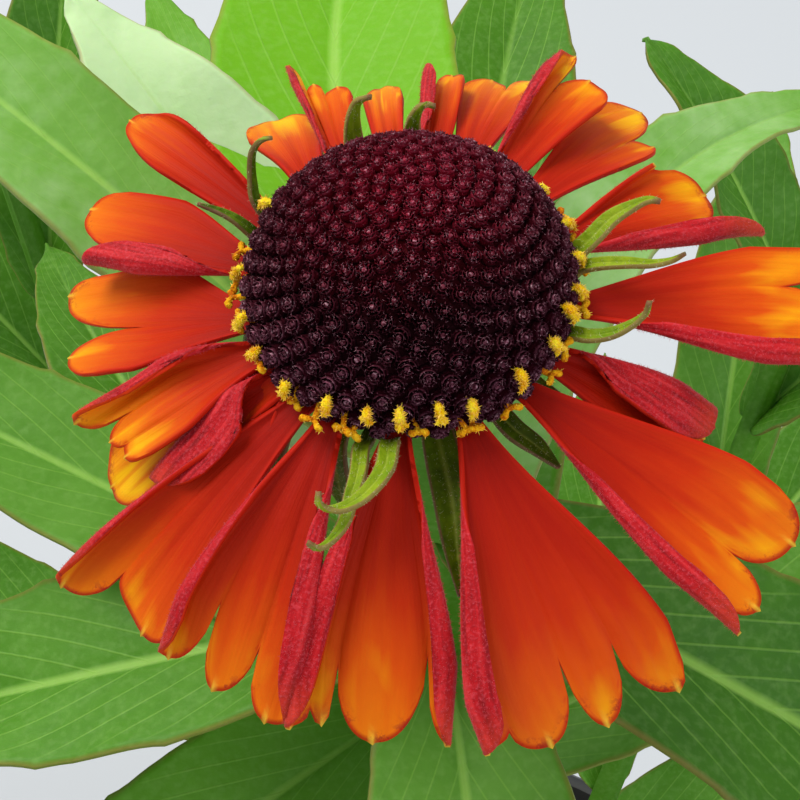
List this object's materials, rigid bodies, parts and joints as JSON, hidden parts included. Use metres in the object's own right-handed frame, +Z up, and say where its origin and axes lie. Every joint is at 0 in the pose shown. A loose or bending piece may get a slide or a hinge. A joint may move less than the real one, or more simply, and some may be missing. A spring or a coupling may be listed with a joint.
{
  "type": "potted sneezeweed",
  "caption": "Sneezeweed in a plain plastic pot: a leafy stem with an open orange-red daisy bloom round a dark dome, and leafy side shoots.",
  "frame": {"origin": "centre of the pot's flat underside, on the surface that it stands on", "axes": "+Z up along the pot's axis; the bloom leans a little towards -Y and -X; -Y is the side that the picture looks from"},
  "size_m": [0.2456, 0.2338, 0.3932],
  "materials": {
    "pot_plastic": "satin",
    "potting_mix": "matte",
    "leaf_green": "satin",
    "bract_green": "satin",
    "ray_orange": "satin",
    "style_yellow": "matte",
    "disc_maroon": "matte"
  },
  "bodies": {
    "root": {"pot": "pot_plastic", "potting_mix": "potting_mix", "flowering_stem": "leaf_green", "side_shoot_1": "leaf_green", "side_shoot_2": "leaf_green", "side_shoot_3": "leaf_green", "side_shoot_4": "leaf_green", "side_shoot_5": "leaf_green", "involucre": "bract_green", "ray_florets": "ray_orange", "open_florets": "style_yellow", "disc_florets": "disc_maroon"}
  },
  "joints": []
}
